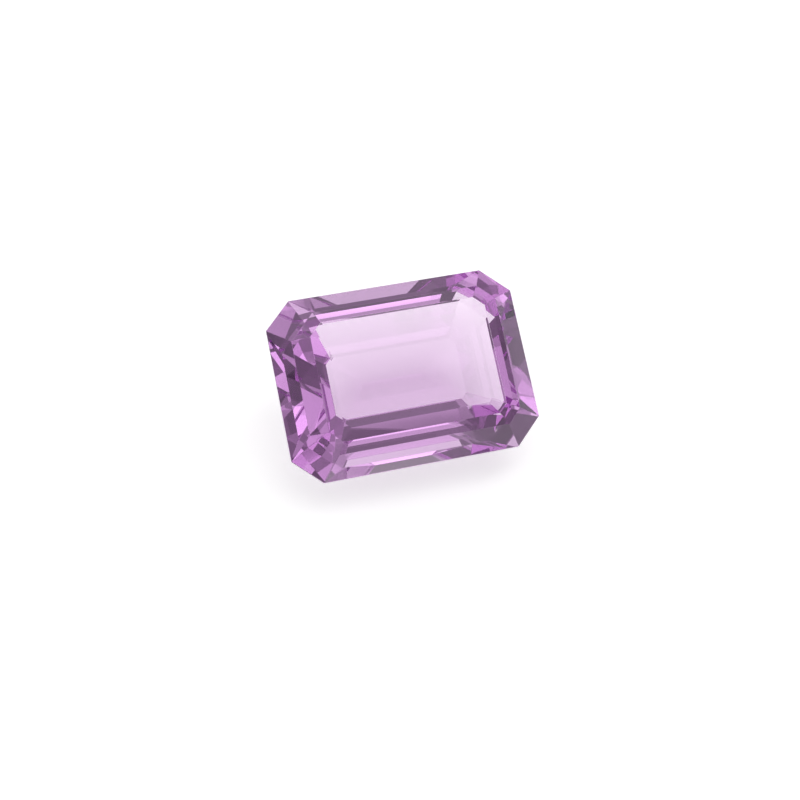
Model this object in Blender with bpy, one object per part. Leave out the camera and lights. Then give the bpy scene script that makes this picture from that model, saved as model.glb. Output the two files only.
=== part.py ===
# A step-cut (emerald-cut) amethyst, lying on one long side of its pavilion.
#
# The stone is cut the way a gem cutter cuts it: an oblong block with clipped corners is trimmed
# by one flat cut after another. Each row of cuts leans further in than the row before it, up to
# the flat table on top and down to the short keel line below. The finished stone is then turned
# so that the facet it rests on lies flat on the ground.

import math

import bmesh
import bpy
from mathutils import Matrix, Vector

MM = 0.001

# Every level below is a ring of edges round the stone, in millimetres. Its height is measured
# from the middle of the girdle. Its reach is how far its edges lie from the stone's axis at the
# two ends, the two long sides and the four clipped corners. Its shift is how far the ring sits
# off centre, towards +X and +Y, because a stone cut by hand is never quite even. The crown's
# corner cuts have a further shift of their own.
CORNER_TURN = 46.0       # direction of a corner cut, in degrees from the long axis
GIRDLE_THICKNESS = 0.25
GIRDLE = {"height": 0.0, "end": 9.00, "side": 6.60, "corner": 9.65, "shift": (0.0, 0.0)}
CROWN = (
    {
        "height": 1.60, "end": 7.45, "side": 5.10, "corner": 7.85,
        "shift": (-0.10, 0.00), "corner_shift": (0.35, -0.05),
    },
    {
        "height": 2.10, "end": 6.30, "side": 4.25, "corner": 6.90,
        "shift": (0.05, -0.05), "corner_shift": (0.10, -0.05),
    },
    {
        "height": 2.20, "end": 5.25, "side": 3.35, "corner": 5.90,
        "shift": (0.05, -0.10), "corner_shift": (0.15, 0.10),
    },
)
PAVILION = (
    {"height": -2.85, "end": 6.85, "side": 4.55, "corner": 7.00, "shift": (0.00, 0.10)},
    {"height": -4.80, "end": 4.75, "side": 2.30, "corner": 4.65, "shift": (-0.05, 0.20)},
)
KEEL_HEIGHT = -5.95
KEEL_HALF_LENGTH = 2.15
KEEL_SHIFT = (-0.30, 0.45)

VIOLET = (0.60, 0.42, 0.74, 1.0)

# The eight directions round the stone. Ends face +X and -X, long sides face +Y and -Y.
DIRECTIONS = tuple(
    (kind, math.radians(degrees))
    for kind, degrees in (
        ("end", 0.0), ("corner", CORNER_TURN), ("side", 90.0), ("corner", 180.0 - CORNER_TURN),
        ("end", 180.0), ("corner", 180.0 + CORNER_TURN), ("side", 270.0), ("corner", -CORNER_TURN),
    )
)
FRONT = math.radians(270.0)


def outward(angle):
    """Unit vector that points straight out of the stone's side at this angle."""
    return Vector((math.cos(angle), math.sin(angle), 0.0))


def reach(level, kind, angle):
    """Distance from the stone's axis to the level's edge in one direction."""
    shift = Vector((*level["shift"], 0.0))
    if kind == "corner" and "corner_shift" in level:
        shift += Vector((*level["corner_shift"], 0.0))
    return level[kind] + shift.dot(outward(angle))


def girdle_level(height):
    """The girdle's outline at this height."""
    return {**GIRDLE, "height": height}


def keel_level():
    """The keel as a level: a line of its own half length, with no width."""
    corner = KEEL_HALF_LENGTH * math.cos(math.radians(CORNER_TURN))
    return {
        "height": KEEL_HEIGHT, "end": KEEL_HALF_LENGTH, "side": 0.0, "corner": corner,
        "shift": KEEL_SHIFT,
    }


def rough_block():
    """A box that is a little larger than the finished stone."""
    low, high = KEEL_HEIGHT, CROWN[-1]["height"]
    block = bmesh.new()
    bmesh.ops.create_cube(block, size=1.0)
    spread = (2 * GIRDLE["end"] + 1.0, 2 * GIRDLE["side"] + 1.0, high - low + 1.0)
    bmesh.ops.scale(block, vec=spread, verts=block.verts)
    bmesh.ops.translate(block, vec=(0.0, 0.0, (high + low) / 2), verts=block.verts)
    return block


def cut(stone, point, normal):
    """Trims away all that lies beyond a plane and closes the opening with one flat facet."""
    everything = stone.verts[:] + stone.edges[:] + stone.faces[:]
    made = bmesh.ops.bisect_plane(
        stone, geom=everything, dist=1e-5, plane_co=point, plane_no=normal, clear_outer=True
    )
    rim = [item for item in made["geom_cut"] if isinstance(item, bmesh.types.BMEdge)]
    if rim:
        bmesh.ops.contextual_create(stone, geom=rim)


def cut_girdle(stone):
    """Trims the block to the girdle's outline."""
    for kind, angle in DIRECTIONS:
        cut(stone, outward(angle) * reach(GIRDLE, kind, angle), outward(angle))


def cut_row(stone, near, far):
    """Cuts the facets that run from the near level's edges to the far level's edges."""
    rise = far["height"] - near["height"]
    for kind, angle in DIRECTIONS:
        side = outward(angle)
        start = reach(near, kind, angle)
        run = start - reach(far, kind, angle)
        edge = side * start + Vector((0.0, 0.0, near["height"]))
        normal = side * abs(rise) + Vector((0.0, 0.0, math.copysign(run, rise)))
        cut(stone, edge, normal.normalized())


def cut_stone():
    """The whole stone, table up, with the girdle's middle at height zero."""
    crown = (girdle_level(GIRDLE_THICKNESS / 2), *CROWN)
    pavilion = (girdle_level(-GIRDLE_THICKNESS / 2), *PAVILION, keel_level())
    stone = rough_block()
    cut_girdle(stone)
    for levels in (crown, pavilion):
        for near, far in zip(levels, levels[1:]):
            cut_row(stone, near, far)
    cut(stone, Vector((0.0, 0.0, CROWN[-1]["height"])), Vector((0.0, 0.0, 1.0)))
    return stone


def tidy(stone):
    """Removes the specks that meeting cuts leave at the shared corners."""
    bmesh.ops.remove_doubles(stone, verts=stone.verts, dist=0.001)
    bmesh.ops.dissolve_degenerate(stone, edges=stone.edges, dist=0.0005)
    bmesh.ops.recalc_face_normals(stone, faces=stone.faces)


def rest_turn():
    """Turn about X that lays the front keel facet flat on the ground."""
    last, keel = PAVILION[-1], keel_level()
    run = reach(last, "side", FRONT) - reach(keel, "side", FRONT)
    return Matrix.Rotation(math.atan2(last["height"] - keel["height"], run), 4, "X")


def lay_down(stone):
    """Turns the stone onto its rest facet, centred over the origin and standing on height zero."""
    bmesh.ops.transform(stone, matrix=rest_turn(), verts=stone.verts)
    low = [min(v.co[axis] for v in stone.verts) for axis in range(3)]
    high = [max(v.co[axis] for v in stone.verts) for axis in range(3)]
    middle = Vector(((low[0] + high[0]) / 2, (low[1] + high[1]) / 2, low[2]))
    bmesh.ops.translate(stone, vec=-middle, verts=stone.verts)


def amethyst_material():
    """Clear violet quartz with a polished surface."""
    material = bpy.data.materials.new("amethyst")
    material.use_nodes = True
    surface = material.node_tree.nodes["Principled BSDF"]
    surface.inputs["Base Color"].default_value = VIOLET
    surface.inputs["Roughness"].default_value = 0.02
    surface.inputs["Metallic"].default_value = 0.0
    surface.inputs["IOR"].default_value = 1.548
    surface.inputs["Transmission Weight"].default_value = 1.0
    return material


def add_stone():
    """Makes the stone's object in metres, at its real size."""
    stone = cut_stone()
    tidy(stone)
    lay_down(stone)
    bmesh.ops.scale(stone, vec=(MM, MM, MM), verts=stone.verts)
    mesh = bpy.data.meshes.new("stone")
    stone.to_mesh(mesh)
    stone.free()
    mesh.materials.append(amethyst_material())
    bpy.context.collection.objects.link(bpy.data.objects.new("stone", mesh))


for existing in list(bpy.data.objects):
    bpy.data.objects.remove(existing, do_unlink=True)
add_stone()
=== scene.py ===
# %% [markdown]
# # A step-cut amethyst
# This lesson dresses one loose gemstone: a pale violet quartz cut with long straight facets in
# rows, lying tilted on one side of its underside. The shape is already complete, because a cut
# stone is nothing but flat planes. What makes it look real is the glassy surface, the colour
# that builds up inside the stone, and what the polished facets have to mirror.

# %% Load the fixed stone
import math

import bmesh
import bpy
from mathutils import Matrix, Vector


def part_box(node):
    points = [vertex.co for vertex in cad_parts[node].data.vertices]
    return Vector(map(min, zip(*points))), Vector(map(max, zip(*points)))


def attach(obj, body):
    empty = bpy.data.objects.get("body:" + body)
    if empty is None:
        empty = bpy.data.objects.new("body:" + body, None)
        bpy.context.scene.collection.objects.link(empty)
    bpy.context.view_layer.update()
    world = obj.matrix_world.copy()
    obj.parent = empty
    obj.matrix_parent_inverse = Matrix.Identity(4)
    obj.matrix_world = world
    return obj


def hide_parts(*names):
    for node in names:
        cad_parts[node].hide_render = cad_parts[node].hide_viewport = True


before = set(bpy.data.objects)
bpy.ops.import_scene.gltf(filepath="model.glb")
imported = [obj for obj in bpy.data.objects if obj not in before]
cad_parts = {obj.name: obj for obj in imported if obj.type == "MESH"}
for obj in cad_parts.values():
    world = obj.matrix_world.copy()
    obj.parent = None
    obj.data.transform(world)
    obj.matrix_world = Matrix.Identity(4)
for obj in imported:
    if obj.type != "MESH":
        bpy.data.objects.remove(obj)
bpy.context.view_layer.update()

MM = 0.001
stone_low, stone_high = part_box("stone")
stone_size = stone_high - stone_low
print("stone is", [round(side / MM, 2) for side in stone_size], "mm")

# %% [markdown]
# The frame's mesh is made of loose triangles. Merged into whole facets it is easier to work
# with: each flat of the gem becomes one face. The vertices are merged first, and then every edge
# between two triangles of the same plane is dissolved. The faces also get two marks for the
# material to read, still empty here: one for the girdle and one for rounded edges.

# %% Merge the triangles into whole facets
MERGE_DISTANCE = 0.002 * MM
FLAT_ANGLE = math.radians(0.2)


def whole_facets(node):
    """A bmesh of the node with every flat facet as one face."""
    shape = bmesh.new()
    shape.from_mesh(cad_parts[node].data)
    bmesh.ops.remove_doubles(shape, verts=shape.verts, dist=MERGE_DISTANCE)
    bmesh.ops.dissolve_limit(
        shape, angle_limit=FLAT_ANGLE, verts=shape.verts, edges=shape.edges
    )
    shape.normal_update()
    return shape


gem_shape = whole_facets("stone")
girdle_mark = gem_shape.faces.layers.float.new("ground_girdle")
edge_mark = gem_shape.faces.layers.float.new("rounded_edge")
print("the stone has", len(gem_shape.faces), "facets")

# %% [markdown]
# Two parts of the stone matter later: the table, which is the big flat on top, and the girdle,
# the thin belt round the widest part. The table is the largest facet. The girdle's facets are
# those that stand square to it. Finding them by measuring keeps them right if the stone changes.

# %% Find the table and the girdle
SQUARE_TO_TABLE = 0.02

table = max(gem_shape.faces, key=lambda facet: facet.calc_area())
table_normal = table.normal.copy()
girdle = [
    facet for facet in gem_shape.faces if abs(facet.normal.dot(table_normal)) < SQUARE_TO_TABLE
]
girdle_points = {corner for facet in girdle for corner in facet.verts}
girdle_middle = sum((corner.co for corner in girdle_points), Vector()) / len(girdle_points)
print("the table leans", round(math.degrees(table_normal.angle(Vector((0, 0, 1)))), 1), "degrees")
print("the girdle has", len(girdle), "flats")

# %% [markdown]
# A real facet meets its neighbour in an edge that is sharp but not infinitely so: polishing
# leaves a rounding about a hundredth of a millimetre wide, which catches the light as a fine
# line. The bevel operator rounds every edge by that amount. Now the marks are set: one on the
# girdle, which is ground but not polished, and one on the rounded edges.

# %% Round the edges and mark the unpolished parts
EDGE_ROUNDING = 0.012 * MM

for facet in girdle:
    facet[girdle_mark] = 1.0
rounded = bmesh.ops.bevel(
    gem_shape, geom=gem_shape.edges, offset=EDGE_ROUNDING, offset_type="OFFSET",
    affect="EDGES", segments=1, profile=0.5, material=-1,
)
for strip in rounded["faces"]:
    strip[edge_mark] = 1.0
    strip[girdle_mark] = 0.0
gem_mesh = bpy.data.meshes.new("gem")
gem_shape.to_mesh(gem_mesh)
gem_shape.free()
gem = bpy.data.objects.new("gem", gem_mesh)
bpy.context.collection.objects.link(gem)
print("gem has", len(gem_mesh.polygons), "faces, of them", len(rounded["faces"]), "rounded edges")

# %% [markdown]
# Materials are easier to read as arithmetic than as a web of nodes. This small class wraps one
# output socket, so that an expression such as glow * mask adds the Math nodes by itself. The board
# class adds every other kind of node: its settings first, then its sockets.

# %% A small kit for node arithmetic


class Wire:
    """One output socket that Python's arithmetic works on."""

    def __init__(self, board, socket):
        self.board = board
        self.socket = socket

    def maths(self, operation, first, second):
        return self.board.node("ShaderNodeMath", {"operation": operation}, {0: first, 1: second})

    def __add__(self, other):
        return self.maths("ADD", self, other)

    def __radd__(self, other):
        return self.maths("ADD", other, self)

    def __sub__(self, other):
        return self.maths("SUBTRACT", self, other)

    def __mul__(self, other):
        return self.maths("MULTIPLY", self, other)

    def __rmul__(self, other):
        return self.maths("MULTIPLY", other, self)

    def __rpow__(self, base):
        return self.maths("POWER", base, self)


class Board:
    """The nodes of one material or world."""

    def __init__(self, owner):
        owner.use_nodes = True
        self.tree = owner.node_tree

    def node(self, kind, settings, sockets, out=0):
        """Adds a node, gives it its settings and then its sockets, and wraps one output."""
        made = self.tree.nodes.new(kind)
        for name, value in settings.items():
            setattr(made, name, value)
        self.set(made, sockets)
        return Wire(self, made.outputs[out])

    def set(self, node, sockets):
        """Links or sets each named socket of a node."""
        for name, value in sockets.items():
            if isinstance(value, Wire):
                self.tree.links.new(value.socket, node.inputs[name])
            else:
                node.inputs[name].default_value = value


# %% [markdown]
# Amethyst is quartz: light bends at its surface by quartz's refractive index, 1.548. The violet
# comes from the depth of stone that the light crosses and not from the surface, so the surface
# is clear and a volume absorption inside takes out green first, then a little red and blue. A
# short path through the middle stays pale, and a path that is mirrored from facet to facet
# comes out deep violet. The absorption node takes its density, times one minus its colour, from
# the light on each metre. The girdle is only ground, so it is frosted. The rounded edges are
# slightly worn. The polish itself is never perfect: faint patches of it are a little softer.

# %% Polished amethyst
QUARTZ_IOR = 1.548
ABSORPTION_COLOUR = (0.62, 0.08, 0.68, 1.0)
ABSORPTION_DENSITY = 60.0
POLISHED, WORN, GROUND = 0.004, 0.10, 0.32
GROUND_UNEVENNESS = 0.10
PATCH_SIZE = 4 * MM
GRIND_SIZE = 0.12 * MM
GRIND_DEPTH = 0.006 * MM


def amethyst():
    """Clear quartz with violet absorption inside and a frosted girdle."""
    material = bpy.data.materials.new("amethyst")
    board = Board(material)
    place = board.node("ShaderNodeTexCoord", {}, {}, out="Object")
    ground = board.node("ShaderNodeAttribute", {"attribute_name": "ground_girdle"}, {}, out="Fac")
    worn = board.node("ShaderNodeAttribute", {"attribute_name": "rounded_edge"}, {}, out="Fac")
    patches = board.node("ShaderNodeTexNoise", {}, {"Vector": place, "Scale": 1 / PATCH_SIZE})
    grind = board.node("ShaderNodeTexNoise", {}, {"Vector": place, "Scale": 1 / GRIND_SIZE})
    roughness = POLISHED * patches + WORN * worn + ground * (GROUND + GROUND_UNEVENNESS * grind)
    relief = board.node(
        "ShaderNodeBump", {}, {"Height": grind * ground, "Distance": GRIND_DEPTH, "Strength": 1.0}
    )
    surface = board.tree.nodes["Principled BSDF"]
    board.set(surface, {
        "Base Color": (1.0, 1.0, 1.0, 1.0), "Roughness": roughness, "Normal": relief,
        "IOR": QUARTZ_IOR, "Transmission Weight": 1.0,
    })
    inside = board.node(
        "ShaderNodeVolumeAbsorption", {},
        {"Color": ABSORPTION_COLOUR, "Density": ABSORPTION_DENSITY},
    )
    board.set(board.tree.nodes["Material Output"], {"Volume": inside})
    return material


gem_mesh.materials.append(amethyst())
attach(gem, "root")
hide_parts("stone")
absorbed = [round(ABSORPTION_DENSITY * (1 - part), 1) for part in ABSORPTION_COLOUR[:3]]
print("the stone absorbs", absorbed, "per metre of red, green and blue")

# %% [markdown]
# The stone lies on a white table that glows by itself, as the light tables do that clear stones
# are photographed on. Without the glow, what is seen through the stone would be its own shadow.
# The table's top is a hair below the stone, because a clear surface that shares its plane with
# another one renders as noise.

# %% White table
TABLE_HALF = 1200 * MM
TABLE_GAP = 0.02 * MM
TABLE_WHITE = 0.9
TABLE_ROUGHNESS = 0.9
TABLE_GLOW = 0.50


def white_table():
    """A flat sheet under the stone, lit from above and glowing by itself."""
    material = bpy.data.materials.new("white_table")
    board = Board(material)
    board.set(board.tree.nodes["Principled BSDF"], {
        "Base Color": (TABLE_WHITE, TABLE_WHITE, TABLE_WHITE, 1.0), "Roughness": TABLE_ROUGHNESS,
        "Specular IOR Level": 0.0, "Emission Color": (1.0, 1.0, 1.0, 1.0),
        "Emission Strength": TABLE_GLOW,
    })
    sheet = bmesh.new()
    bmesh.ops.create_grid(sheet, x_segments=1, y_segments=1, size=TABLE_HALF)
    bmesh.ops.translate(sheet, vec=(0.0, 0.0, -TABLE_GAP), verts=sheet.verts)
    mesh = bpy.data.meshes.new("white_table")
    sheet.to_mesh(mesh)
    sheet.free()
    mesh.materials.append(material)
    made = bpy.data.objects.new("white_table", mesh)
    bpy.context.collection.objects.link(made)
    return made


white_table()

# %% [markdown]
# A faceted stone is a bundle of small mirrors, so it shows the room more than itself. The room
# here is dim, with a few soft round glows in it: what the facets mirror of the dim part turns
# deep violet, and what they mirror of a glow turns bright. Each glow has an azimuth, an
# elevation and a width, all in degrees, and then its strength at the middle.

# %% Dim room with soft glows
ROOM = 0.01
GLOWS = {
    "lamp high behind": (85, 55, 30, 1.1),
    "lamp overhead": (20, 80, 10, 1.2),
    "window right": (345, 45, 15, 0.8),
    "window left": (160, 30, 15, 1.0),
    "window behind": (120, 15, 10, 0.5),
    "window front left": (240, 10, 25, 0.2),
    "window front right": (290, 10, 25, 0.2),
}


def direction(azimuth, elevation):
    """Unit vector towards a place in the room, azimuth counted from +X towards +Y."""
    turn, lift = math.radians(azimuth), math.radians(elevation)
    flat = math.cos(lift)
    return Vector((math.cos(turn) * flat, math.sin(turn) * flat, math.sin(lift)))


def room_light():
    """A world that is dim, with a soft round glow in each named direction."""
    world = bpy.data.worlds.new("room")
    board = Board(world)
    look = board.node("ShaderNodeTexCoord", {}, {}, out="Generated")
    total = ROOM
    for azimuth, elevation, width, strength in GLOWS.values():
        towards = board.node(
            "ShaderNodeVectorMath", {"operation": "DOT_PRODUCT"},
            {0: look, 1: direction(azimuth, elevation)}, out="Value",
        )
        spread = math.radians(width) ** 2
        total = strength * math.e ** ((towards - 1.0) * (1 / spread)) + total
    board.set(board.tree.nodes["Background"], {"Color": (1, 1, 1, 1), "Strength": total})
    return world


bpy.context.scene.world = room_light()
print("room has", len(GLOWS), "soft glows")

# %% [markdown]
# One more lamp, high on the right and behind, gives the stone its contact shadow towards the
# left. It is hidden from the stone's own mirrors, where it would burn out.

# %% Soft lamp on the right
LAMP_STRENGTH = 0.30
LAMP_SPREAD = math.radians(25)
LAMP_AZIMUTH, LAMP_ELEVATION = 30, 50

lamp_data = bpy.data.lights.new("lamp", "SUN")
lamp_data.energy = LAMP_STRENGTH
lamp_data.angle = LAMP_SPREAD
lamp = bpy.data.objects.new("lamp", lamp_data)
lamp.rotation_euler = direction(LAMP_AZIMUTH, LAMP_ELEVATION).to_track_quat("Z", "Y").to_euler()
lamp.visible_glossy = False
lamp.visible_transmission = False
bpy.context.collection.objects.link(lamp)
print("lamp stands at", LAMP_AZIMUTH, "degrees and", LAMP_ELEVATION, "degrees up")

# %% [markdown]
# Light is mirrored many times inside a cut stone before it comes out, so long paths are allowed.
# If they were cut short, the corners would turn black. The colours are shown as they are,
# without a film curve, so that the table stays white.

# %% Long light paths and plain colours
BOUNCES = 24

scene = bpy.context.scene
scene.view_settings.view_transform = "Standard"
scene.cycles.max_bounces = BOUNCES
scene.cycles.glossy_bounces = BOUNCES
scene.cycles.transmission_bounces = BOUNCES
print("light may bounce", BOUNCES, "times")

# %% [markdown]
# The camera stands in front of the stone and to its left, and looks down on it. The photograph
# is square, and the middle of the girdle sits a little above and right of its centre, so the
# camera is moved sideways until it does. Its distance sets how much the far edges shrink.

# %% Camera
PHOTO_SIDE = 800
GIRDLE_PIXEL = (403.5, 374.1)
PIXELS_PER_MM = 14.08
CAMERA_AZIMUTH, CAMERA_ELEVATION, CAMERA_ROLL = -107.7, 54.5, 4.4
CAMERA_DISTANCE = 88 * MM
SENSOR_WIDTH = 36.0
NEAREST_SEEN = 1 * MM

camera_data = bpy.data.cameras.new("camera")
camera_data.sensor_width = SENSOR_WIDTH
camera_data.lens = SENSOR_WIDTH * CAMERA_DISTANCE / MM * PIXELS_PER_MM / PHOTO_SIDE
camera_data.clip_start = NEAREST_SEEN
camera = bpy.data.objects.new("camera", camera_data)
bpy.context.collection.objects.link(camera)
scene.camera = camera

back = direction(CAMERA_AZIMUTH, CAMERA_ELEVATION)
roll = Matrix.Rotation(math.radians(CAMERA_ROLL), 3, "Z")
turned = back.to_track_quat("Z", "Y").to_matrix() @ roll
across = (GIRDLE_PIXEL[0] - PHOTO_SIDE / 2) / PIXELS_PER_MM * MM
above = (PHOTO_SIDE / 2 - GIRDLE_PIXEL[1]) / PIXELS_PER_MM * MM
stand = girdle_middle + back * CAMERA_DISTANCE - turned.col[0] * across - turned.col[1] * above
camera.matrix_world = Matrix.Translation(stand) @ turned.to_4x4()
print("camera has a", round(camera_data.lens), "mm lens")
